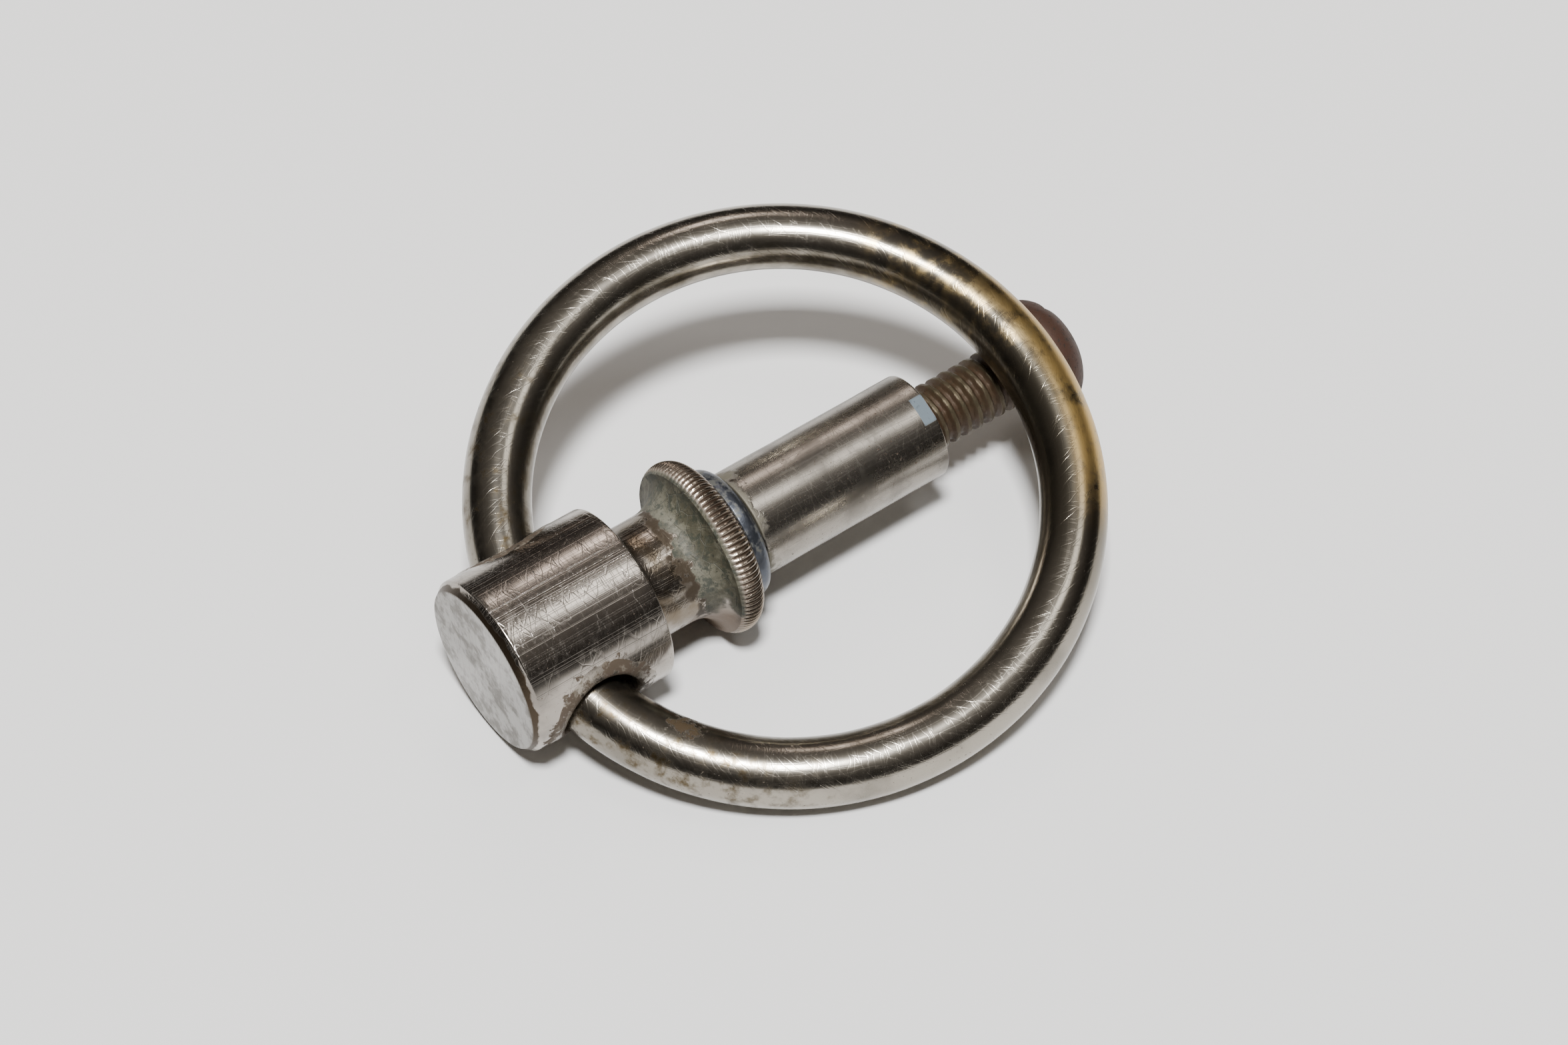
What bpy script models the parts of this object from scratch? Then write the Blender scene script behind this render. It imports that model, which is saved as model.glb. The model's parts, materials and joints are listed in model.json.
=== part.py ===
"""Eye bolt: a closed ring swinging in a cross-drilled, nickel-plated head post.

The post carries a milled flange, a collar washer and a spacer sleeve, all stacked
on one round-head clamp screw that threads into the back of the post.
Run with: blender --background --python part.py
Units are metres, +Z is up. The shank lies along +X on the plane z = 0, head towards
-X, with the ring folded back over the shank and resting on the screw's thread.
"""

import math

import bmesh
import bpy
from mathutils import Matrix

MM = 0.001
GAP = 0.3 * MM               # clearance left between neighbouring pieces
TURN_STEPS = 64              # facets round a turned piece

# Ring, a closed loop of round bar
BAR_R = 3.175 * MM
RING_R = 25.6 * MM           # to the bar's centre line
RING_PITCH = math.radians(7.66)   # slope of the folded ring above the shank
RING_SKEW = math.radians(-2.0)    # how far it lies askew in its loose hole
RING_BACKSET = 1.15 * MM     # bar centre line behind the hole's axis
RING_DROP = 0.4 * MM         # bar centre line below the hole's axis

# Head post, measured along the shank from the cross hole's axis
HOLE_R = 4.7 * MM
HEAD_R = 8.38 * MM
HEAD_FACE = -7.06 * MM
HEAD_REAR = 7.40 * MM
FACE_R = 7.78 * MM
FACE_CHAMFER = 0.78 * MM
STEP_R = 6.35 * MM           # foot of the head's rear face
STEP_LENGTH = 1.9 * MM       # fillet from there down to the neck
NECK_R = 5.38 * MM
COVE_START = 12.2 * MM
FLANGE_FRONT = 14.95 * MM
FLANGE_BACK = 17.8 * MM
FLANGE_R = 8.42 * MM         # over the milled rim
FLANGE_EDGE_R = 8.05 * MM
FLANGE_BACK_R = 7.1 * MM      # flat part of the flange's back
TAPPED_FLOOR = 11.0 * MM     # end of the blind hole for the screw

# Collar washer and spacer sleeve
COLLAR_R = 6.3 * MM
COLLAR_FACE_R = 5.2 * MM
COLLAR_END = 19.65 * MM
SLEEVE_R = 5.08 * MM
SLEEVE_BREAK = 0.15 * MM     # broken edge at both ends
SLEEVE_END = 39.85 * MM
FLAT_LENGTH = 1.35 * MM      # filed flat at the sleeve's open end
FLAT_DEPTH = 0.17 * MM
FLAT_ANGLE = math.radians(23.5)   # round the sleeve from straight up, towards -Y

# Clamp screw, 1/4 inch with 20 threads to the inch
SCREW_R = 3.1 * MM
SCREW_BORE_R = SCREW_R + GAP
SCREW_SEAT = 52.95 * MM
SCREW_LENGTH = 41.3 * MM
SCREW_HEAD_R = 5.75 * MM
SCREW_HEAD_HEIGHT = 4.1 * MM
SLOT_WIDTH = 1.6 * MM
SLOT_DEPTH = 1.9 * MM

# Placing: the shank rests on its flange rim, and the whole piece is centred on X and Y
SHANK_Z = FLANGE_R
SCREW_TIP = SCREW_SEAT + SCREW_HEAD_HEIGHT
PIVOT_X = -(HEAD_FACE + SCREW_TIP) / 2


def clear_scene():
    for obj in list(bpy.data.objects):
        bpy.data.objects.remove(obj, do_unlink=True)


def make_collection(name):
    collection = bpy.data.collections.new(name)
    bpy.context.scene.collection.children.link(collection)
    return collection


def metal(name, color, roughness, metallic=1.0):
    material = bpy.data.materials.new(name)
    material.use_nodes = True
    shader = material.node_tree.nodes["Principled BSDF"]
    shader.inputs["Base Color"].default_value = (*color, 1.0)
    shader.inputs["Roughness"].default_value = roughness
    shader.inputs["Metallic"].default_value = metallic
    return material


def empty(name, collection, location, rotation=(0, 0, 0)):
    """A frame that pieces are parented to."""
    obj = bpy.data.objects.new(name, None)
    obj.location = location
    obj.rotation_euler = rotation
    obj.empty_display_size = 0.01
    collection.objects.link(obj)
    return obj


def adopt(collection, parent):
    """Moves the object that a primitive operator just made into a collection, under a parent."""
    obj = bpy.context.object
    for other in list(obj.users_collection):
        other.objects.unlink(obj)
    collection.objects.link(obj)
    obj.parent = parent
    return obj


def ring_direction():
    """From the hole to the ring's centre, in the hinge's frame (Y along the hole)."""
    return (math.cos(RING_PITCH) * math.cos(RING_SKEW),
            math.cos(RING_PITCH) * math.sin(RING_SKEW),
            math.sin(RING_PITCH))


def ring_centre():
    """The ring's centre in the hinge's frame."""
    along, across, up = (RING_R * part for part in ring_direction())
    return (along - RING_BACKSET, across, up - RING_DROP)


def lowest_of_ring(roll):
    """Height of the ring's low side over the resting plane, with the hole rolled by an angle."""
    _, across, up = ring_centre()
    centre_z = SHANK_Z + across * math.sin(roll) + up * math.cos(roll)
    _, dir_y, dir_z = ring_direction()
    slope_out = dir_y * math.sin(roll) + dir_z * math.cos(roll)
    slope_side = math.cos(RING_SKEW) * math.sin(roll)
    return centre_z - RING_R * math.hypot(slope_out, slope_side) - BAR_R


def resting_roll():
    """Roll of the hole about the shank at which the ring's low side meets the plane."""
    low, high = 0.0, math.radians(45)
    for _ in range(60):
        middle = (low + high) / 2
        if lowest_of_ring(middle) > 0:
            low = middle
        else:
            high = middle
    return low


def shank_y(roll):
    """Puts the ring's centre, and with it the whole piece, in the middle of Y."""
    _, across, up = ring_centre()
    return -(across * math.cos(roll) - up * math.sin(roll))


def ellipse_arc(centre, semi, start, stop, count):
    """Points (radius, height) along an ellipse's arc, its angles in degrees."""
    points = []
    for index in range(count + 1):
        angle = math.radians(start + (stop - start) * index / count)
        points.append((centre[0] + semi[0] * math.cos(angle),
                       centre[1] + semi[1] * math.sin(angle)))
    return points


def bake_modifiers(obj):
    """Replaces the mesh with the modified one, shaded smooth apart from its real edges."""
    graph = bpy.context.evaluated_depsgraph_get()
    mesh = bpy.data.meshes.new_from_object(obj.evaluated_get(graph))
    obj.modifiers.clear()
    obj.data = mesh
    mesh.shade_smooth()
    mesh.set_sharp_from_angle(angle=math.radians(28))
    return obj


def turned(name, outline, closed, material, collection, parent):
    """A turned piece: the outline (radius, height) runs down its outer side."""
    mesh = bpy.data.meshes.new(name)
    shape = bmesh.new()
    corners = [shape.verts.new((radius, 0, height)) for radius, height in outline]
    for first, second in zip(corners, corners[1:]):
        shape.edges.new((first, second))
    if closed:
        shape.edges.new((corners[-1], corners[0]))
    shape.to_mesh(mesh)
    shape.free()
    obj = bpy.data.objects.new(name, mesh)
    collection.objects.link(obj)
    obj.parent = parent
    mesh.materials.append(material)
    screw = obj.modifiers.new("Turn", "SCREW")
    screw.steps = TURN_STEPS
    screw.render_steps = TURN_STEPS
    screw.use_merge_vertices = True
    screw.merge_threshold = 0.00001
    return obj


def cut(obj, cutter):
    boolean = obj.modifiers.new("Cut", "BOOLEAN")
    boolean.operation = "DIFFERENCE"
    boolean.object = cutter
    cutter.hide_render = True
    cutter.display_type = "WIRE"
    bpy.context.view_layer.update()


def box_cutter(name, size, location, rotation, collection, parent):
    bpy.ops.mesh.primitive_cube_add(size=1.0)
    cutter = adopt(collection, parent)
    cutter.name = name
    cutter.data.transform(Matrix.Diagonal((*size, 1)))
    cutter.location = location
    cutter.rotation_euler = rotation
    return cutter


def post_outline():
    """Tapped hole, flange, cove, neck, step and barrel head, ending on the head's flat face."""
    rim = ellipse_arc((FLANGE_EDGE_R - 0.9 * MM, FLANGE_FRONT + 1.2 * MM),
                      (FLANGE_R - FLANGE_EDGE_R + 0.9 * MM, 1.6 * MM), 72, -45, 9)
    cove_depth = FLANGE_EDGE_R - NECK_R
    cove = ellipse_arc((FLANGE_EDGE_R, COVE_START),
                       (-cove_depth, FLANGE_FRONT - COVE_START), 78, 0, 8)
    fillet = ellipse_arc((STEP_R, HEAD_REAR + STEP_LENGTH),
                         (NECK_R - STEP_R, -STEP_LENGTH), 0, 80, 5)
    barrel = [(HEAD_R - 0.2 * MM, HEAD_REAR), (HEAD_R, HEAD_REAR - 0.2 * MM),
              (HEAD_R, HEAD_FACE + FACE_CHAMFER), (FACE_R, HEAD_FACE), (0, HEAD_FACE)]
    bore = [(0, TAPPED_FLOOR), (SCREW_BORE_R, TAPPED_FLOOR), (SCREW_BORE_R, FLANGE_BACK)]
    back = [(FLANGE_BACK_R, FLANGE_BACK)]
    return bore + back + rim + cove + fillet + [(STEP_R, HEAD_REAR)] + barrel


def make_post(collection, cutters, shank, hinge):
    """Barrel head, neck and milled flange, turned in one piece and cross-drilled for the ring."""
    nickel = metal("nickel plate, worn", (0.62, 0.60, 0.56), 0.28)
    post = turned("head_post", post_outline(), False, nickel, collection, shank)
    bpy.ops.mesh.primitive_cylinder_add(
        vertices=48, radius=HOLE_R, depth=4 * HEAD_R, rotation=(math.pi / 2, 0, 0))
    hole = adopt(cutters, hinge)
    hole.name = "cross_hole_cutter"
    cut(post, hole)
    return bake_modifiers(post)


def make_collar(collection, shank):
    """Plain grey collar washer behind the flange, its outer edge rounded."""
    zinc = metal("grey collar metal", (0.34, 0.36, 0.40), 0.5)
    start = FLANGE_BACK + GAP
    rounding = ellipse_arc((COLLAR_FACE_R, COLLAR_END - 1.1 * MM),
                           (COLLAR_R - COLLAR_FACE_R, 1.1 * MM), 90, 0, 5)
    outline = rounding + [(COLLAR_R, start), (SCREW_BORE_R, start), (SCREW_BORE_R, COLLAR_END)]
    return bake_modifiers(turned("collar_washer", outline, True, zinc, collection, shank))


def make_sleeve(collection, cutters, shank):
    """Plain spacer tube on the screw, with a small filed flat at its open end."""
    dull_nickel = metal("nickel plate, dull", (0.42, 0.40, 0.37), 0.4)
    start = COLLAR_END + GAP
    outline = [(SLEEVE_R - SLEEVE_BREAK, SLEEVE_END), (SLEEVE_R, SLEEVE_END - SLEEVE_BREAK),
               (SLEEVE_R, start + SLEEVE_BREAK), (SLEEVE_R - SLEEVE_BREAK, start),
               (SCREW_BORE_R, start), (SCREW_BORE_R, SLEEVE_END)]
    sleeve = turned("spacer_sleeve", outline, True, dull_nickel, collection, shank)
    # Local -X of the shank frame is up, so the flat's direction turns from there.
    reach = SLEEVE_R - FLAT_DEPTH + 1.5 * MM
    cutter = box_cutter(
        "flat_cutter", (3 * MM, 8 * MM, 2 * FLAT_LENGTH),
        (-reach * math.cos(FLAT_ANGLE), -reach * math.sin(FLAT_ANGLE), SLEEVE_END),
        (0, 0, FLAT_ANGLE), cutters, shank)
    cut(sleeve, cutter)
    return bake_modifiers(sleeve)


def make_screw(collection, cutters, shank):
    """Rusty slotted round-head machine screw, its thread left as a plain cylinder."""
    rust = metal("rusted steel", (0.20, 0.09, 0.05), 0.75, 0.35)
    edge = 0.5 * MM
    dome = ellipse_arc((0, SCREW_SEAT + edge), (SCREW_HEAD_R, SCREW_HEAD_HEIGHT - edge), 90, 0, 9)
    tip = SCREW_SEAT - SCREW_LENGTH
    shank_points = [(SCREW_HEAD_R - 0.3 * MM, SCREW_SEAT), (SCREW_R, SCREW_SEAT),
                    (SCREW_R, tip + 0.5 * MM), (SCREW_R - 0.5 * MM, tip), (0, tip)]
    dome[0] = (0, SCREW_TIP)
    screw = turned("clamp_screw", dome + shank_points, False, rust, collection, shank)
    slot = box_cutter("slot_cutter", (4 * SCREW_HEAD_R, SLOT_WIDTH, 2 * SLOT_DEPTH),
                      (0, 0, SCREW_TIP), (0, 0, math.radians(20)), cutters, shank)
    cut(screw, slot)
    return bake_modifiers(screw)


def make_ring(collection, hinge):
    """Closed ring of round bar, its origin frame on the cross hole's axis."""
    steel = metal("nickel plate, rubbed", (0.52, 0.49, 0.44), 0.3)
    bpy.ops.mesh.primitive_torus_add(
        major_radius=RING_R, minor_radius=BAR_R, major_segments=96, minor_segments=16)
    ring = adopt(collection, hinge)
    ring.name = "ring"
    ring.location = ring_centre()
    ring.rotation_euler = (0, -RING_PITCH, RING_SKEW)
    ring.data.materials.append(steel)
    ring.data.shade_smooth()
    return ring


def main():
    clear_scene()
    collection = make_collection("eye_bolt")
    cutters = make_collection("cutters")
    roll = resting_roll()
    pivot = (PIVOT_X, shank_y(roll), SHANK_Z)
    # The shank frame's Z runs along the shank; the hinge frame's Y runs along the cross hole.
    shank = empty("shank_axis", collection, pivot, (0, math.pi / 2, 0))
    hinge = empty("ring_hinge", collection, pivot, (roll, 0, 0))
    bpy.context.view_layer.update()
    make_post(collection, cutters, shank, hinge)
    make_collar(collection, shank)
    make_sleeve(collection, cutters, shank)
    make_screw(collection, cutters, shank)
    make_ring(collection, hinge)


main()
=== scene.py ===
import json
import math

import bmesh
import bpy
import numpy as np
from mathutils import Matrix, Vector, noise


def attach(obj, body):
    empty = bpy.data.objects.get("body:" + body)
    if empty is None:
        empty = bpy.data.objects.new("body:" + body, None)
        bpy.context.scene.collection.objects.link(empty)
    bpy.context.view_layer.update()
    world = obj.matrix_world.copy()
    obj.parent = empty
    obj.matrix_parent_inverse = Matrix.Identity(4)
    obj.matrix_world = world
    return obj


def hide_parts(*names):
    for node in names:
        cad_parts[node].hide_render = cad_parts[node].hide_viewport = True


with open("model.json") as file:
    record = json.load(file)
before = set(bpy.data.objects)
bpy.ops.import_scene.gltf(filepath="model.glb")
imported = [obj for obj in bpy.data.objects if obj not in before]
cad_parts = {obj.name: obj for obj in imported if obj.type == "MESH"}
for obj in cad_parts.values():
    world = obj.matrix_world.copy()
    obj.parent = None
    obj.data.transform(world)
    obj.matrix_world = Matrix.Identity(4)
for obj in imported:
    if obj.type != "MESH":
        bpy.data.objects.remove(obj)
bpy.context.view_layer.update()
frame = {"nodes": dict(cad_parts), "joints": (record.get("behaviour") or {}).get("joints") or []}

# Looks of an eye bolt: finer meshes for the five CAD nodes, worn metal finishes, a pale floor,
# soft light and the camera. Lengths are in millimetres until MM scales them.

MM = 0.001
TURN = 2 * math.pi

# The head's own shape, as distances along the shank from the cross hole's axis
HOLE_R = 4.7
LIP_INNER_R = 3.86      # just clear of what the ring's bar sweeps as it swings
HEAD_R = 8.39
HEAD_FACE = -7.06
HEAD_REAR = 7.4
NECK_R = 5.38
COVE_START = 12.1
FLANGE_FRONT = 14.92
FLANGE_BACK = 17.8
FLANGE_R = 8.42
REEDS = 95
REED_DEPTH = 0.2
COLLAR_END = 19.65
SLEEVE_R = 5.08
SLEEVE_END = 39.85
FLAT_LENGTH = 1.35
FLAT_DEPTH = 0.17
FLAT_ANGLE = math.radians(23.5)
BORE_R = 3.4
BORE_FLOOR = 11.0
THREAD_R = 3.1
THREAD_ROOT_R = 2.68
THREAD_PITCH = 1.27
SCREW_TIP = 11.65
SCREW_SEAT = 52.95
SCREW_HEAD_R = 5.75
SCREW_HEAD_HEIGHT = 4.1
BAR_R = 3.175
RING_R = 25.6

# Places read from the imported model
swing = next(joint for joint in frame["joints"] if joint["name"] == "ring_swing")
PIVOT = Vector(swing["pos_m"])
HOLE_AXIS = -Vector(swing["axis"]).normalized()
HOLE_SIDE = Vector((1, 0, 0)).cross(HOLE_AXIS).normalized()


# ---------------------------------------------------------------- shaders

class Finish:
    """A metal's material, laid up coat by coat: each coat covers the one under it where its mask is 1."""

    def __init__(self, name, color, roughness, metallic=1.0):
        self.material = bpy.data.materials.new(name)
        self.material.use_nodes = True
        self.tree = self.material.node_tree
        self.surface = self.tree.nodes["Principled BSDF"]
        self.point = self.node("ShaderNodeTexCoord").outputs["Object"]
        self.coats = {"color": (*color, 1), "roughness": roughness, "metallic": metallic, "relief": 0.0}

    def node(self, kind, **settings):
        made = self.tree.nodes.new(kind)
        for key, value in settings.items():
            setattr(made, key, value)
        return made

    def feed(self, socket, value):
        if isinstance(value, bpy.types.NodeSocket):
            self.tree.links.new(value, socket)
        else:
            socket.default_value = value

    def math(self, operation, *values, clamp=False):
        made = self.node("ShaderNodeMath", operation=operation, use_clamp=clamp)
        for socket, value in zip(made.inputs, values):
            self.feed(socket, value)
        return made.outputs[0]

    def vector(self, operation, *values):
        made = self.node("ShaderNodeVectorMath", operation=operation)
        for socket, value in zip(made.inputs, values):
            self.feed(socket, value)
        scalar = operation in ("DOT_PRODUCT", "LENGTH", "DISTANCE")
        return made.outputs["Value" if scalar else "Vector"]

    def along(self, direction):
        """Distance along a direction, in millimetres."""
        return self.vector("DOT_PRODUCT", self.point, tuple(value / MM for value in direction))

    def vec(self, x, y, z):
        made = self.node("ShaderNodeCombineXYZ")
        for socket, value in zip(made.inputs, (x, y, z)):
            self.feed(socket, value)
        return made.outputs[0]

    def noise(self, scale, detail=4.0, roughness=0.6, at=None, distortion=0.0):
        """Cloudy noise with scale features per millimetre, or per unit of at."""
        made = self.node("ShaderNodeTexNoise")
        self.feed(made.inputs["Vector"], self.point if at is None else at)
        made.inputs["Scale"].default_value = scale / MM if at is None else scale
        made.inputs["Detail"].default_value = detail
        made.inputs["Roughness"].default_value = roughness
        made.inputs["Distortion"].default_value = distortion
        return made.outputs[0]

    def band(self, value, low, high, to_low=0.0, to_high=1.0):
        """Smooth step from to_low at low to to_high at high."""
        made = self.node("ShaderNodeMapRange", interpolation_type="SMOOTHSTEP")
        for socket, item in zip(made.inputs, (value, low, high, to_low, to_high)):
            self.feed(socket, item)
        return made.outputs[0]

    def hump(self, value, low, high, soft):
        """1 between low and high, with soft sides."""
        rise = self.band(value, low - soft, low + soft)
        fall = self.band(value, high - soft, high + soft, 1.0, 0.0)
        return self.math("MULTIPLY", rise, fall)

    def times(self, *values):
        total = values[0]
        for value in values[1:]:
            total = self.math("MULTIPLY", total, value)
        return total

    def most(self, *values):
        total = values[0]
        for value in values[1:]:
            total = self.math("MAXIMUM", total, value)
        return total

    def mix(self, share, under, over, kind):
        made = self.node("ShaderNodeMix", data_type=kind, clamp_factor=True)
        first, second = (6, 7) if kind == "RGBA" else (2, 3)
        self.feed(made.inputs[0], share)
        self.feed(made.inputs[first], under)
        self.feed(made.inputs[second], over)
        return made.outputs[2 if kind == "RGBA" else 0]

    def coat(self, mask, color=None, roughness=None, metallic=None):
        """Lays color, roughness and metallic over what is there, where mask is 1."""
        over = {"color": color and (*color, 1), "roughness": roughness, "metallic": metallic}
        for key, value in over.items():
            if value is not None:
                kind = "RGBA" if key == "color" else "FLOAT"
                self.coats[key] = self.mix(mask, self.coats[key], value, kind)

    def relief(self, height, amount):
        """Adds height times amount, in millimetres, to the bump."""
        self.coats["relief"] = self.math("MULTIPLY_ADD", height, amount, self.coats["relief"])

    def done(self):
        self.feed(self.surface.inputs["Base Color"], self.coats["color"])
        self.feed(self.surface.inputs["Roughness"], self.coats["roughness"])
        self.feed(self.surface.inputs["Metallic"], self.coats["metallic"])
        bump = self.node("ShaderNodeBump")
        bump.inputs["Strength"].default_value = 1.0
        bump.inputs["Distance"].default_value = MM
        self.feed(bump.inputs["Height"], self.coats["relief"])
        self.feed(self.surface.inputs["Normal"], bump.outputs[0])
        return self.material

    def brushed(self, amount):
        """Stretches highlights along the shank, as fine turning marks round it do."""
        self.surface.inputs["Anisotropic"].default_value = amount
        self.feed(self.surface.inputs["Tangent"], self.node(
            "ShaderNodeTangent", direction_type="RADIAL", axis="X").outputs[0])

    # Wear that several pieces share

    def scratches(self, across, along, length, spacing, share, amount, seed):
        """Fine lines that run with along, a distance in millimetres, at a rough spacing."""
        at = self.vec(self.math("DIVIDE", across, spacing), self.math("DIVIDE", along, length), seed)
        lines = self.noise(1.0, 2.0, 0.5, at=at, distortion=0.25)
        mask = self.band(self.math("ABSOLUTE", self.math("SUBTRACT", lines, 0.5)), 0.0, share, 1.0, 0.0)
        self.relief(mask, -amount)
        self.coats["roughness"] = self.math("MULTIPLY_ADD", mask, 0.05, self.coats["roughness"])
        return mask

    def pits(self, scale, where, color, amount):
        """Small dark pits, thickest where where is 1."""
        fine = self.noise(scale, 3.0, 0.6)
        threshold = self.math("MULTIPLY_ADD", where, -0.14, 0.76)
        mask = self.band(self.math("SUBTRACT", fine, threshold), 0.0, 0.03)
        self.coat(mask, color, 0.6, 0.4)
        self.relief(mask, -amount)
        return mask


def shank_frame(finish):
    """Distance along the shank, distance round it at the head's radius, and radius, in millimetres."""
    x = finish.along((1, 0, 0))
    y = finish.along((0, 1, 0))
    z = finish.along((0, 0, 1))
    angle = finish.math("ARCTAN2", z, y)
    radius = finish.math("SQRT", finish.math("ADD", finish.times(y, y), finish.times(z, z)))
    return x, finish.times(angle, HEAD_R), radius


def nickel_base(name, tint, roughness, cloud):
    """Dulled nickel plate: slow tarnish clouds, a satin grain and uneven gloss."""
    finish = Finish(name, tint, roughness)
    clouds = finish.noise(cloud, 3.0, 0.5)
    finish.coat(finish.band(clouds, 0.42, 0.72), tuple(part * 0.65 for part in tint), roughness + 0.04)
    grain = finish.noise(4.0, 4.0, 0.7)
    finish.coats["roughness"] = finish.math(
        "MULTIPLY_ADD", finish.math("SUBTRACT", grain, 0.5), 0.04, finish.coats["roughness"])
    finish.relief(finish.noise(0.9, 2.0, 0.5), 0.0022)
    return finish


def post_finish():
    """Scratched nickel head, brown crust in the hollows, pale green verdigris in the cove, painted shade on
    the face's edge and on the side towards the table.
    """
    finish = nickel_base("worn_nickel_post", (0.38, 0.345, 0.305), 0.15, 0.22)
    finish.brushed(0.7)
    x, round_shank = shank_frame(finish)[:2]
    barrel = finish.hump(x, HEAD_FACE + 0.8, HEAD_REAR, 0.1)
    # Scratches: most run round the shank, some lie askew
    skew = finish.math("MULTIPLY_ADD", round_shank, 0.45, x)
    back = finish.math("MULTIPLY_ADD", round_shank, -0.3, x)
    finish.scratches(x, round_shank, 6.0, 0.6, 0.03, 0.0022, 1.7)
    finish.scratches(skew, round_shank, 5.0, 1.6, 0.022, 0.0042, 4.1)
    finish.scratches(back, round_shank, 7.0, 2.2, 0.018, 0.0055, 7.9)
    # Dull end face with a darker rim
    face = finish.band(x, HEAD_FACE + 0.12, HEAD_FACE + 0.02)
    blotches = finish.noise(0.5, 5.0, 0.65)
    finish.coat(face, (0.31, 0.30, 0.285), 0.33)
    finish.coat(finish.times(face, finish.band(blotches, 0.42, 0.62)), (0.15, 0.14, 0.125), 0.4)
    smears = finish.noise(0.25, 5.0, 0.7, distortion=1.5)
    finish.coat(finish.times(face, finish.band(smears, 0.52, 0.7)), (0.40, 0.39, 0.38), 0.5)
    across_face, down_face = finish.along((0, 1, 0)), finish.along((0, 0, 1))
    lines = finish.scratches(across_face, down_face, 9.0, 0.35, 0.02, 0.004, 12.0)
    finish.coat(finish.times(face, lines, 0.6), (0.17, 0.16, 0.15))
    # Dark bronze band on the chamfer round the edge of the face: partly plate rubbed off, partly painted
    # shade
    edge_wear = finish.noise(0.7, 4.0, 0.6)
    ragged_x = finish.math("MULTIPLY_ADD", edge_wear, -0.8, x)
    rim = finish.times(finish.band(x, HEAD_FACE, HEAD_FACE + 0.1),
                       finish.band(ragged_x, HEAD_FACE + 0.2, HEAD_FACE + 0.05))
    finish.coat(rim, (0.055, 0.04, 0.026), 0.34, 0.9)
    # The neck is browned in patches
    neck = finish.hump(x, HEAD_REAR + 0.2, COVE_START + 0.4, 0.3)
    tarnish = finish.noise(0.35, 4.0, 0.6)
    finish.coat(finish.times(neck, finish.band(tarnish, 0.3, 0.62)), (0.16, 0.13, 0.095), 0.2)
    # Brown crust round the cross hole and in the groove behind the head
    across = finish.along(HOLE_SIDE)
    from_hole = finish.math("SQRT", finish.math("ADD", finish.times(x, x), finish.times(across, across)))
    patchy = finish.noise(0.6, 5.0, 0.65)
    reach = finish.math("MULTIPLY_ADD", patchy, 6.5, HOLE_R - 2.7)
    crust = finish.band(finish.math("SUBTRACT", reach, from_hole), 0.0, 0.25)
    groove = finish.hump(x, HEAD_REAR + 0.05, HEAD_REAR + 0.8, 0.15)
    groove = finish.times(groove, finish.band(patchy, 0.38, 0.5))
    dirt = finish.most(crust, groove)
    soil = finish.noise(2.0, 5.0, 0.7)
    finish.coat(dirt, (0.085, 0.062, 0.042), 0.7, 0.3)
    finish.coat(finish.times(dirt, finish.band(soil, 0.45, 0.65)), (0.17, 0.145, 0.11), 0.75, 0.2)
    finish.relief(dirt, 0.05)
    # Verdigris on the cove and the flange's front
    crumbly = finish.noise(0.8, 6.0, 0.7)
    ragged = finish.noise(0.32, 3.5, 0.5)
    edge = finish.math("MULTIPLY_ADD", ragged, 7.0, COVE_START - 3.4)
    # It stops short of the side that lies on the table, which is painted dark brown there as shade instead
    lean = finish.math("MULTIPLY_ADD", finish.along((0, 0.35, 1)), 0.12, 0.52)
    zone = finish.times(finish.band(finish.math("SUBTRACT", x, edge), 0.0, 0.12), finish.band(x, 15.6, 15.1))
    # Painted shade: dark brown on the side towards the table
    browned = finish.times(finish.hump(x, 11.2, 15.3, 0.6), finish.band(lean, 0.35, -0.05))
    finish.coat(browned, (0.14, 0.10, 0.07), 0.4, 0.85)
    green = finish.times(zone, finish.band(finish.math("ADD", lean, finish.math(
        "SUBTRACT", ragged, 0.5)), 0.1, 0.24))
    fringe = finish.times(finish.hump(finish.math("SUBTRACT", x, edge), -0.9, 0.1, 0.3),
                          finish.band(crumbly, 0.42, 0.5))
    finish.coat(fringe, (0.05, 0.036, 0.022), 0.5, 0.5)
    finish.coat(green, (0.066, 0.061, 0.041), 0.58, 0.15)
    pale = finish.band(finish.noise(0.5, 5.0, 0.7), 0.44, 0.6)
    finish.coat(finish.times(green, pale), (0.125, 0.118, 0.085))
    dark = finish.band(finish.noise(0.9, 5.0, 0.7), 0.5, 0.6)
    finish.coat(finish.times(green, dark), (0.042, 0.045, 0.032))
    specks = finish.band(finish.noise(2.6, 5.0, 0.75), 0.58, 0.66)
    finish.coat(finish.times(green, specks), (0.028, 0.025, 0.018), 0.6)
    cracks = finish.node("ShaderNodeTexVoronoi", feature="DISTANCE_TO_EDGE")
    finish.feed(cracks.inputs["Vector"], finish.point)
    cracks.inputs["Scale"].default_value = 0.75 / MM
    split = finish.times(green, finish.band(cracks.outputs["Distance"], 0.035, 0.0),
                         finish.band(ragged, 0.45, 0.6))
    finish.coat(split, (0.07, 0.07, 0.055), 0.7)
    finish.relief(finish.times(green, crumbly), 0.07)
    finish.relief(split, -0.03)
    # The reeds keep grime in their roots
    rim_zone = finish.hump(x, FLANGE_FRONT + 0.3, FLANGE_BACK - 0.3, 0.2)
    reed = finish.math("COSINE", finish.times(round_shank, REEDS / HEAD_R))
    finish.coat(rim_zone, (0.30, 0.25, 0.20), 0.24)
    root = finish.times(rim_zone, finish.band(reed, -0.2, 0.75))
    finish.coat(root, (0.045, 0.028, 0.017), 0.5, 0.6)
    finish.pits(5.0, finish.times(barrel, finish.noise(0.3)), (0.12, 0.08, 0.05), 0.02)
    return finish.done()


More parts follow.
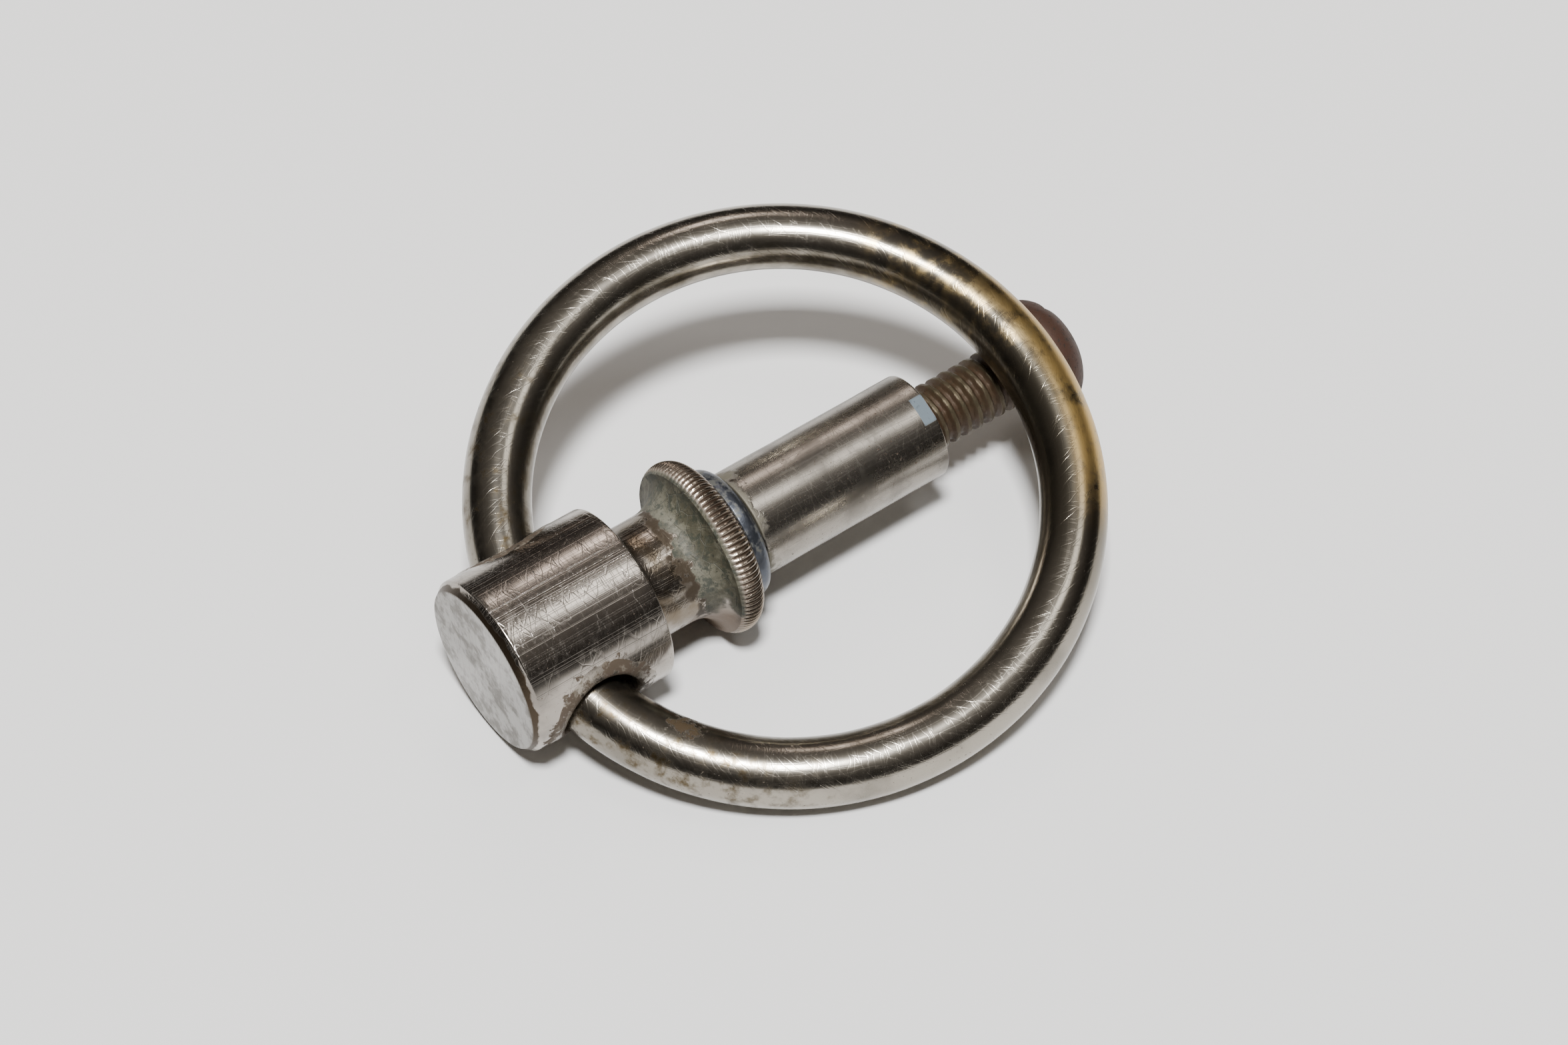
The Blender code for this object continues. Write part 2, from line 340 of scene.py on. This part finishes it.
def lip_finish():
    """The post's nickel, caked with brown dirt and paler dust."""
    finish = nickel_base("dirty_lip", (0.34, 0.305, 0.26), 0.26, 0.3)
    finish.coat(finish.band(finish.noise(0.7, 5.0, 0.7), 0.44, 0.52), (0.085, 0.062, 0.042), 0.65, 0.3)
    finish.coat(finish.band(finish.noise(1.6, 5.0, 0.7), 0.54, 0.64), (0.17, 0.145, 0.11), 0.7, 0.2)
    finish.relief(finish.noise(2.0, 5.0, 0.7), 0.03)
    return finish.done()


def ring_finish():
    """Rubbed nickel ring: brassy where it is worn through, browned and pitted elsewhere, with painted shade
    on two sides and on the inner side.
    """
    finish = nickel_base("worn_nickel_ring", (0.36, 0.33, 0.28), 0.185, 0.16)
    x, y, z = (finish.along(axis) for axis in ring_frame()[1].transposed())
    distance = finish.math("SQRT", finish.math("ADD", finish.times(x, x), finish.times(y, y)))
    outward = finish.math("DIVIDE", finish.math("SUBTRACT", distance, RING_R), BAR_R)
    angle = finish.math("ARCTAN2", y, x)
    round_ring = finish.times(angle, RING_R)
    round_bar = finish.times(finish.math("ARCTAN2", z, finish.times(outward, BAR_R)), BAR_R)
    askew = finish.math("MULTIPLY_ADD", round_bar, 0.9, round_ring)
    finish.scratches(round_ring, round_bar, 3.5, 0.7, 0.03, 0.0018, 2.3)
    finish.scratches(askew, round_bar, 4.0, 1.4, 0.024, 0.0035, 5.2)
    finish.scratches(round_bar, round_ring, 9.0, 0.8, 0.03, 0.0015, 8.8)

    def sector(degrees, half_width, soft):
        """1 near one place round the ring, in degrees from the side away from the head."""
        aim = math.radians(degrees)
        facing = finish.math("DIVIDE", finish.math(
            "ADD", finish.times(x, math.cos(aim)), finish.times(y, math.sin(aim))), distance)
        low = math.cos(math.radians(half_width + soft))
        return finish.band(facing, low, math.cos(math.radians(max(half_width - soft, 0))))

    # Painted shade: darker on the side away from the head, and next to the head, where the ring's
    # reflections are darker
    mottle = finish.noise(0.45, 5.0, 0.65)
    finish.coat(finish.times(sector(-5, 42, 25), 0.9), (0.13, 0.115, 0.088), 0.2)
    finish.coat(finish.times(sector(170, 50, 25), 0.6), (0.17, 0.155, 0.13), 0.2)
    # Worn through to brass on the outer part away from the head
    wear = finish.times(sector(-8, 22, 12), finish.hump(outward, 0.1, 1.2, 0.3))
    wear = finish.times(wear, finish.band(mottle, 0.2, 0.55))
    finish.coat(wear, (0.58, 0.39, 0.14), 0.40)
    gold = finish.times(sector(20, 18, 8), finish.band(mottle, 0.42, 0.7))
    finish.coat(gold, (0.46, 0.34, 0.16), 0.34)
    # Brown staining towards the head, and painted shade on the inner side
    uneven = finish.noise(0.7, 5.0, 0.6)
    stained = finish.times(sector(-180, 62, 25), finish.band(uneven, 0.45, 0.7))
    finish.coat(stained, (0.075, 0.054, 0.026), 0.3, 0.9)
    slow = finish.noise(0.3, 4.0, 0.6)
    inner_side_shade = finish.times(finish.band(outward, 0.1, -0.9), finish.band(slow, 0.3, 0.7))
    finish.coat(inner_side_shade, (0.10, 0.085, 0.06), 0.22, 0.95)
    # One lump of brown crust on the upper inside, a little way from the hole
    lump_angle, lump_outward, squash = math.radians(-143), -0.5, 1.5
    aside = finish.math("SUBTRACT", round_ring, lump_angle * RING_R)
    inwards = finish.math(
        "MULTIPLY_ADD", outward, squash * BAR_R, -lump_outward * squash * BAR_R)
    from_lump = finish.vector("LENGTH", finish.vec(aside, inwards, 0.0))
    crumbly = finish.noise(0.8, 6.0, 0.75)
    lump = finish.band(finish.math("MULTIPLY_ADD", crumbly, -9.0, from_lump), -3.0, -3.5)
    lump = finish.times(lump, finish.band(z, 0.0, 0.3))
    finish.coat(lump, (0.040, 0.024, 0.008), 0.75, 0.1)
    finish.relief(finish.times(lump, crumbly), 0.15)
    outer = finish.times(finish.band(outward, 0.0, 0.9), finish.noise(0.2))
    finish.pits(4.0, outer, (0.10, 0.07, 0.05), 0.02)
    return finish.done()


def collar_finish():
    """Dull blue-grey zinc plate with a pale bloom."""
    finish = Finish("zinc_collar", (0.088, 0.096, 0.115), 0.32, 0.9)
    finish.coat(finish.band(finish.noise(0.9, 5.0, 0.65), 0.5, 0.62), (0.11, 0.11, 0.10), 0.55, 0.5)
    finish.coat(finish.band(finish.noise(1.7, 5.0, 0.7), 0.62, 0.7), (0.12, 0.10, 0.08), 0.7, 0.4)
    finish.relief(finish.noise(2.0, 4.0, 0.6), 0.03)
    return finish.done()


def sleeve_finish():
    """Dull nickel tube: long draw streaks, specks, deposit at its root, a filed flat with a painted pale
    blue reflection.
    """
    finish = nickel_base("dull_nickel_sleeve", (0.30, 0.275, 0.24), 0.25, 0.3)
    finish.brushed(0.4)
    x, round_shank = shank_frame(finish)[:2]
    finish.scratches(round_shank, x, 14.0, 0.9, 0.03, 0.0007, 3.3)
    finish.scratches(x, round_shank, 5.0, 1.0, 0.022, 0.0009, 6.1)
    root = finish.math("MULTIPLY_ADD", finish.noise(0.5, 5.0, 0.6), 5.0, COLLAR_END - 1.2)
    bloom = finish.band(finish.math("SUBTRACT", root, x), 0.0, 0.9)
    finish.coat(bloom, (0.13, 0.118, 0.088), 0.55, 0.4)
    finish.relief(bloom, 0.05)
    finish.pits(3.5, 0.6, (0.09, 0.06, 0.04), 0.02)
    # The filed flat gets a pale blue painted reflection
    flat_out = finish.along((0, -math.sin(FLAT_ANGLE), math.cos(FLAT_ANGLE)))
    filed = finish.times(
        finish.band(x, SLEEVE_END - FLAT_LENGTH - 0.05, SLEEVE_END - FLAT_LENGTH + 0.05),
        finish.hump(flat_out, SLEEVE_R - FLAT_DEPTH - 0.02, SLEEVE_R - FLAT_DEPTH + 0.02, 0.01))
    finish.coat(filed, (0.14, 0.175, 0.20), 0.42, 0.5)
    end = finish.band(x, SLEEVE_END - 0.05, SLEEVE_END - 0.01)
    finish.coat(end, (0.16, 0.11, 0.08), 0.6, 0.6)
    return finish.done()


def screw_finish():
    """Brown rust, brighter where the thread's crests rub."""
    finish = Finish("rusted_screw", (0.038, 0.022, 0.013), 0.55, 0.3)
    x, _, radius = shank_frame(finish)
    finish.coat(finish.noise(0.8, 6.0, 0.7), (0.048, 0.013, 0.006), 0.7)
    finish.coat(finish.band(finish.noise(2.2, 5.0, 0.7), 0.55, 0.65), (0.018, 0.012, 0.008), 0.75)
    threaded = finish.band(x, SCREW_SEAT, SCREW_SEAT - 0.4)
    finish.coat(finish.times(threaded, finish.noise(0.5, 4.0, 0.6)), (0.055, 0.040, 0.018), 0.5, 0.5)
    crest = finish.times(finish.band(radius, THREAD_R - 0.14, THREAD_R - 0.03), threaded)
    finish.coat(finish.times(crest, finish.noise(0.7, 3.0, 0.6)), (0.095, 0.082, 0.05), 0.38, 0.9)
    finish.relief(finish.noise(3.0, 5.0, 0.7), 0.04)
    return finish.done()


def paper_finish():
    """Pale matt backdrop paper."""
    finish = Finish("backdrop_paper", (0.80, 0.795, 0.785), 0.9, 0.0)
    finish.coat(finish.band(finish.noise(0.004, 3.0, 0.5), 0.3, 0.7), (0.775, 0.775, 0.77))
    finish.relief(finish.noise(0.6, 3.0, 0.5), 0.01)
    return finish.done()


# ---------------------------------------------------------------- meshes

def arc(centre, semi, start, stop, count):
    """Points (along, radius) on an ellipse's arc; its angles run from +along towards +radius."""
    steps = np.radians(np.linspace(start, stop, count + 1))
    return [(centre[0] + semi[0] * math.cos(a), centre[1] + semi[1] * math.sin(a)) for a in steps]


def run(start, stop, count):
    """Evenly spaced points from start up to, and not with, stop."""
    shares = np.arange(count) / count
    return [tuple(np.add(start, share * np.subtract(stop, start))) for share in shares]


def place(shape, name, location):
    """Turns a bmesh into an object in the scene."""
    bmesh.ops.recalc_face_normals(shape, faces=shape.faces)
    mesh = bpy.data.meshes.new(name)
    shape.to_mesh(mesh)
    shape.free()
    piece = bpy.data.objects.new(name, mesh)
    piece.location = location
    bpy.context.scene.collection.objects.link(piece)
    bpy.context.view_layer.update()
    return piece


def revolve(name, outline, steps, sculpt):
    """Closed solid turned about the shank from (along, radius) points.

    sculpt(x, radius, angle) gives the radius that each point gets at each angle.
    """
    shape = bmesh.new()
    angles = [TURN * index / steps for index in range(steps)]
    rows = []
    for x, radius in outline:
        if radius < 1e-6:
            rows.append([shape.verts.new((x * MM, 0, 0))])
            continue
        row = []
        for angle in angles:
            out = sculpt(x, radius, angle) * MM
            row.append(shape.verts.new((x * MM, out * math.cos(angle), out * math.sin(angle))))
        rows.append(row)
    pairs = list(zip(rows, rows[1:]))
    if len(rows[0]) > 1:
        pairs.append((rows[-1], rows[0]))
    for first, second in pairs:
        for index in range(steps):
            after = (index + 1) % steps
            corners = [first[index % len(first)], second[index % len(second)],
                       second[after % len(second)], first[after % len(first)]]
            shape.faces.new(list(dict.fromkeys(corners)))
    return place(shape, name, PIVOT)


def tube(name, rows, location):
    """Closed tube through rings of points, each joined to the next and the last to the first."""
    shape = bmesh.new()
    rows = [[shape.verts.new(point) for point in row] for row in rows]
    for first, second in zip(rows, rows[1:] + rows[:1]):
        for step in range(len(first)):
            after = (step + 1) % len(first)
            shape.faces.new((first[step], second[step], second[after], first[after]))
    return place(shape, name, location)


def finish_piece(piece, material, body, slot, *nodes, sharp=35):
    """Gives the piece its material and body; the slot argument is not used. It stands for the CAD nodes
    named.
    """
    piece.data.materials.clear()
    piece.data.materials.append(material)
    piece.data.shade_smooth()
    piece.data.set_sharp_from_angle(angle=math.radians(sharp))
    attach(piece, body)
    if nodes:
        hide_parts(*nodes)


def cut(piece, cutter):
    """Takes the cutter's shape out of the piece, and removes the cutter."""
    modifier = piece.modifiers.new("Cut", "BOOLEAN")
    modifier.operation = "DIFFERENCE"
    modifier.object = cutter
    bpy.context.view_layer.update()
    result = bpy.data.meshes.new_from_object(
        piece.evaluated_get(bpy.context.evaluated_depsgraph_get()))
    piece.modifiers.clear()
    piece.data = result
    bpy.data.objects.remove(cutter)


def wobble(x, radius, angle, size, amount, seed):
    """Slow unevenness of a hand-worn surface."""
    where = Vector((x, radius * math.cos(angle), radius * math.sin(angle))) / size
    return amount * noise.noise(where + Vector((seed, 0, 0)))


def post_sculpt(x, radius, angle):
    """Reeds across the flange's rim, crumbly deposit in the cove and slight wear elsewhere."""
    worn = wobble(x, radius, angle, 5.0, 0.02, 1.0)
    if FLANGE_FRONT < x < FLANGE_BACK - 0.1 and radius > 7.5:
        middle = (FLANGE_FRONT + FLANGE_BACK) / 2
        window = max(0.0, 1 - abs((x - middle) / 1.45) ** 4)
        groove = 0.5 - 0.5 * math.cos(REEDS * angle)
        return radius + worn - REED_DEPTH * window * (1 - groove ** 0.7)
    if COVE_START < x <= FLANGE_FRONT + 0.2 and radius > NECK_R - 0.2:
        crumb = wobble(x, radius, angle, 1.1, 0.05, 9.0) + wobble(x, radius, angle, 0.5, 0.02, 5.0)
        return radius + worn + min(crumb, 0.06) * min(1.0, (x - COVE_START) / 1.5)
    return radius + worn


def post_outline():
    """From the face's centre over the barrel, neck, cove and reeded flange to the bottom of the bore."""
    face = [(HEAD_FACE, 0), *run((HEAD_FACE, 0.8), (HEAD_FACE, 7.7), 9)]
    chamfer = [*arc((HEAD_FACE + 0.2, 7.62), (-0.2, 0.2), 0, 70, 4),
               *arc((HEAD_FACE + 0.95, HEAD_R - 0.25), (-0.25, 0.25), 20, 90, 4)]
    barrel = run((HEAD_FACE + 1.3, HEAD_R), (HEAD_REAR - 0.3, HEAD_R), 26)
    rear = arc((HEAD_REAR - 0.15, HEAD_R - 0.15), (0.15, 0.15), 90, 0, 4)
    fillet = arc((HEAD_REAR + 1.9, 6.35), (-1.9, -0.97), 0, 88, 8)
    neck = run((HEAD_REAR + 2.2, NECK_R), (COVE_START, NECK_R - 0.02), 9)
    cove = arc((COVE_START, NECK_R + 2.66), (FLANGE_FRONT - COVE_START, -2.66), 88, 10, 16)
    cove = [(x, min(r, 8.0)) for x, r in cove]
    rim = arc((16.1, 6.9), (1.62, FLANGE_R - 6.9), 138, 22, 30)
    back = [(FLANGE_BACK, 7.1), (FLANGE_BACK, 6.5), (FLANGE_BACK, BORE_R + 0.05)]
    bore = [(FLANGE_BACK - 0.05, BORE_R), *run((FLANGE_BACK - 0.6, BORE_R), (BORE_FLOOR, BORE_R), 6)]
    return face + chamfer + barrel + rear + fillet + neck + cove + rim + back + bore + [
        (BORE_FLOOR, BORE_R), (BORE_FLOOR, 0)]


def make_post():
    post = revolve("head_post_worn", post_outline(), REEDS * 6, post_sculpt)
    bpy.ops.mesh.primitive_cylinder_add(
        vertices=144, radius=HOLE_R * MM, depth=4 * HEAD_R * MM, location=PIVOT)
    hole = bpy.context.object
    hole.rotation_euler = HOLE_AXIS.to_track_quat("Z", "Y").to_euler()
    bpy.context.view_layer.update()
    cut(post, hole)
    finish_piece(post, post_finish(), "post", "post_nickel", "head_post")


def make_lip(side, material):
    """Dirt-caked burr round a mouth of the cross hole: it follows the barrel and narrows the hole."""
    outline = ((5.7, -0.06), (5.3, 0.02), (4.8, 0.06), (4.3, 0.03), (4.0, -0.06), (3.9, -0.3),
               (3.92, -1.2), (4.1, -2.2), (4.4, -2.8), (4.8, -2.9), (5.1, -1.2), (5.5, -0.4))
    count = 240
    rows = []
    for index in range(count):
        turn = TURN * index / count
        row = []
        for reach, rise in outline:
            lump = noise.noise(Vector((reach, math.cos(turn) * 4, math.sin(turn) * 4 + side * 9)))
            reach = max(LIP_INNER_R, reach + 0.12 * lump)
            surface = math.sqrt(HEAD_R ** 2 - (reach * math.sin(turn)) ** 2)
            flat = Vector((1, 0, 0)) * math.cos(turn) + HOLE_SIDE * math.sin(turn)
            height = surface + rise + 0.05 * lump
            row.append((flat * reach + HOLE_AXIS * side * height) * MM)
        rows.append(row)
    lip = tube("hole_lip_near" if side < 0 else "hole_lip_far", rows, PIVOT)
    finish_piece(lip, material, "post", "post_nickel", sharp=80)


def make_collar():
    start = FLANGE_BACK + 0.25
    outline = [*arc((start + 0.15, 6.15), (-0.15, 0.15), 0, 90, 4),
               *arc((COLLAR_END - 1.0, 5.3), (1.0, 1.0), 90, 0, 12),
               (COLLAR_END, 4.6), (COLLAR_END, BORE_R + 0.05), (COLLAR_END - 0.05, BORE_R),
               (start + 0.05, BORE_R), (start, BORE_R + 0.05), (start, 5.0)]
    collar = revolve("collar_washer_worn", outline, 192,
                     lambda x, r, a: r + wobble(x, r, a, 2.0, 0.05, 2.0))
    finish_piece(collar, collar_finish(), "post", "collar_grey", "collar_washer")


def sleeve_sculpt(x, radius, angle):
    """Slight wear, and the flat filed across the open end."""
    radius = radius + wobble(x, radius, angle, 4.0, 0.03, 3.0) * (radius > 4)
    limit = SLEEVE_R - FLAT_DEPTH
    facing = math.cos(angle - math.pi / 2 - FLAT_ANGLE)
    if x > SLEEVE_END - FLAT_LENGTH and facing > 0.5:
        return min(radius, limit / facing)
    return radius


def make_sleeve():
    start = COLLAR_END + 0.3
    flat_start = SLEEVE_END - FLAT_LENGTH
    outline = [*arc((start + 0.15, SLEEVE_R - 0.15), (-0.15, 0.15), 0, 90, 4),
               *run((start + 0.6, SLEEVE_R), (flat_start - 0.02, SLEEVE_R), 34),
               (flat_start - 0.02, SLEEVE_R), (flat_start + 0.02, SLEEVE_R),
               *run((flat_start + 0.3, SLEEVE_R), (SLEEVE_END - 0.15, SLEEVE_R), 8),
               *arc((SLEEVE_END - 0.12, SLEEVE_R - 0.12), (0.12, 0.12), 90, 0, 4),
               (SLEEVE_END, BORE_R + 0.1), (SLEEVE_END - 0.1, BORE_R),
               *run((SLEEVE_END - 1, BORE_R), (start + 0.1, BORE_R), 10),
               (start + 0.1, BORE_R), (start, BORE_R + 0.1)]
    sleeve = revolve("spacer_sleeve_worn", outline, 256, sleeve_sculpt)
    finish_piece(sleeve, sleeve_finish(), "sleeve", "sleeve_nickel", "spacer_sleeve", sharp=25)


def screw_sculpt(x, radius, angle):
    """Right-hand thread on the shank, rusty unevenness on the head."""
    if x > SCREW_SEAT - 0.05 or radius < THREAD_R - 0.01:
        return radius + wobble(x, radius, angle, 1.5, 0.06, 4.0)
    turns = x / THREAD_PITCH - angle / TURN
    crest = min(1.0, max(0.0, 0.5 + 0.75 * math.cos(TURN * turns)))
    runout = min(1.0, (SCREW_SEAT - x) / 0.8)
    return THREAD_R - (THREAD_R - THREAD_ROOT_R) * (1 - crest) * runout + wobble(
        x, radius, angle, 0.7, 0.05, 6.0) - 0.03


def make_screw():
    tip = [(SCREW_TIP, 0), *run((SCREW_TIP, 0.8), (SCREW_TIP, THREAD_ROOT_R - 0.1), 3),
           (SCREW_TIP + 0.05, THREAD_ROOT_R)]
    shank = run((SCREW_TIP + 0.5, THREAD_R), (SCREW_SEAT - 0.06, THREAD_R), 450)
    seat = [(SCREW_SEAT, THREAD_R + 0.1), *run((SCREW_SEAT, 3.6), (SCREW_SEAT, 5.4), 5)]
    head = [*arc((SCREW_SEAT + 0.35, SCREW_HEAD_R - 0.35), (-0.35, 0.35), 0, 80, 5),
            *reversed(arc((SCREW_SEAT + 0.4, 0), (SCREW_HEAD_HEIGHT - 0.4, SCREW_HEAD_R), 6, 88, 24)),
            (SCREW_SEAT + SCREW_HEAD_HEIGHT, 0)]
    screw = revolve("clamp_screw_threaded", tip + shank + seat + head, 96, screw_sculpt)
    bpy.ops.mesh.primitive_cube_add(size=1.0)
    slot = bpy.context.object
    slot.data.transform(Matrix.Diagonal((3.8 * MM, 1.6 * MM, 24 * MM, 1)))
    slot.location = PIVOT + Vector(((SCREW_SEAT + SCREW_HEAD_HEIGHT) * MM, 0, 0))
    slot.rotation_euler = (math.radians(-20), 0, 0)
    bpy.context.view_layer.update()
    cut(screw, slot)
    finish_piece(screw, screw_finish(), "screw", "screw_rust", "clamp_screw")


def ring_frame():
    """Centre and axes of the CAD ring: away from the head, across, and out of its plane."""
    points = np.array([vertex.co for vertex in frame["nodes"]["ring"].data.vertices])
    centre = points.mean(axis=0)
    normal = Vector(np.linalg.svd(points - centre, full_matrices=False)[2][2])
    if normal.z < 0:
        normal = -normal
    centre = Vector(centre)
    away = centre - PIVOT
    away = (away - normal * away.dot(normal)).normalized()
    return centre, Matrix((away, normal.cross(away), normal)).transposed()


def make_ring():
    """Round bar, thinner where years of rubbing wore it, with a slightly uneven surface."""
    count, sides = 540, 64
    centre, axes = ring_frame()
    rows = []
    for index in range(count):
        turn = TURN * index / count
        thickness = BAR_R - 0.06 * (1 + math.cos(turn)) - 0.05 * (1 + math.sin(turn))
        out = Vector((math.cos(turn), math.sin(turn), 0))
        row = []
        for step in range(sides):
            angle = TURN * step / sides
            normal = out * math.cos(angle) + Vector((0, 0, math.sin(angle)))
            point = out * RING_R + normal * thickness
            dent = 0.02 * noise.noise(point / 4.0) + 0.003 * noise.noise(point / 1.1)
            row.append(axes @ (point + normal * dent) * MM)
        rows.append(row)
    ring = tube("ring_worn", rows, centre)
    finish_piece(ring, ring_finish(), "ring", "ring_nickel", "ring", sharp=80)


# ---------------------------------------------------------------- stage, light and camera

CAMERA_TARGET = PIVOT + Vector((23.65, -2.09, 0)) * MM
CAMERA_DISTANCE = 386.05 * MM
CAMERA_AZIMUTH = math.radians(34.74)      # from looking along +Y, turned towards +X
CAMERA_ELEVATION = math.radians(51.18)
CAMERA_ROLL = math.radians(-1.28)
FLOOR_SIZE = 6.0
LIGHT_TARGET = PIVOT + Vector((24, 0, 0)) * MM


def make_camera():
    data = bpy.data.cameras.new("camera")
    data.lens = 99.49
    data.sensor_width = 36
    data.clip_start = 0.01
    away = Vector((-math.sin(CAMERA_AZIMUTH) * math.cos(CAMERA_ELEVATION),
                   -math.cos(CAMERA_AZIMUTH) * math.cos(CAMERA_ELEVATION),
                   math.sin(CAMERA_ELEVATION)))
    right = (-away).cross(Vector((0, 0, 1))).normalized()
    up = right.cross(-away)
    turned_right = right * math.cos(CAMERA_ROLL) + up * math.sin(CAMERA_ROLL)
    turned_up = up * math.cos(CAMERA_ROLL) - right * math.sin(CAMERA_ROLL)
    camera = bpy.data.objects.new("camera", data)
    axes = Matrix((turned_right, turned_up, away)).transposed().to_4x4()
    camera.matrix_world = Matrix.Translation(CAMERA_TARGET + away * CAMERA_DISTANCE) @ axes
    bpy.context.scene.collection.objects.link(camera)
    bpy.context.scene.camera = camera


def direction(tilt, bearing):
    """Unit vector that leans tilt degrees from overhead towards a bearing (0 is +X, 90 is +Y)."""
    lean, turn = math.radians(tilt), math.radians(bearing)
    return Vector((math.sin(lean) * math.cos(turn), math.sin(lean) * math.sin(turn), math.cos(lean)))


def make_light(name, tilt, bearing, distance, size, power, color):
    """Soft box aimed at the object: tilt from overhead towards a bearing (0 is +X, 90 is +Y), in degrees."""
    data = bpy.data.lights.new(name, "AREA")
    data.shape = "RECTANGLE"
    data.size, data.size_y = size
    data.energy = power
    data.color = color
    towards = direction(tilt, bearing)
    light = bpy.data.objects.new(name, data)
    light.location = LIGHT_TARGET + towards * distance
    light.rotation_euler = towards.to_track_quat("Z", "Y").to_euler()
    bpy.context.scene.collection.objects.link(light)
    return light


def make_room():
    """Dim warm room, darker towards the horizon."""
    world = bpy.data.worlds.new("room")
    world.use_nodes = True
    nodes, links = world.node_tree.nodes, world.node_tree.links
    background = nodes["Background"]
    background.inputs["Color"].default_value = (1.0, 0.91, 0.82, 1)
    facing = nodes.new("ShaderNodeVectorMath")
    facing.operation = "DOT_PRODUCT"
    links.new(nodes.new("ShaderNodeTexCoord").outputs["Generated"], facing.inputs[0])
    facing.inputs[1].default_value = (0, 0, 1)
    fade = nodes.new("ShaderNodeMapRange")
    fade.interpolation_type = "SMOOTHSTEP"
    links.new(facing.outputs["Value"], fade.inputs["Value"])
    fade.inputs["From Min"].default_value = 0.25
    fade.inputs["From Max"].default_value = 0.95
    fade.inputs["To Min"].default_value = 0.03
    fade.inputs["To Max"].default_value = 0.19
    links.new(fade.outputs[0], background.inputs["Strength"])
    bpy.context.scene.world = world


def make_stage():
    bpy.ops.mesh.primitive_grid_add(x_subdivisions=8, y_subdivisions=8, size=FLOOR_SIZE)
    floor = bpy.context.object
    floor.name = "floor"
    floor.data.materials.append(paper_finish())
    make_room()
    make_light("bounce", 17.0, 235.2, 1.6, (0.25, 0.25), 51.0, (1.0, 1.0, 1.0))
    make_light("softbox", 25.0, 328.0, 1.6, (0.42, 0.42), 2.5, (1.0, 0.99, 0.97))
    make_light("window", 43.0, 58.4, 1.8, (0.30, 0.34), 1.5, (1.0, 0.88, 0.82))
    fill = make_light("fill", 40.0, 70.0, 0.8, (0.7, 0.6), 1.15, (1.0, 0.93, 0.86))
    fill.visible_glossy = False


make_camera()
make_stage()
make_post()
lip_material = lip_finish()
for hole_end in (-1, 1):
    make_lip(hole_end, lip_material)
make_collar()
make_sleeve()
make_screw()
make_ring()
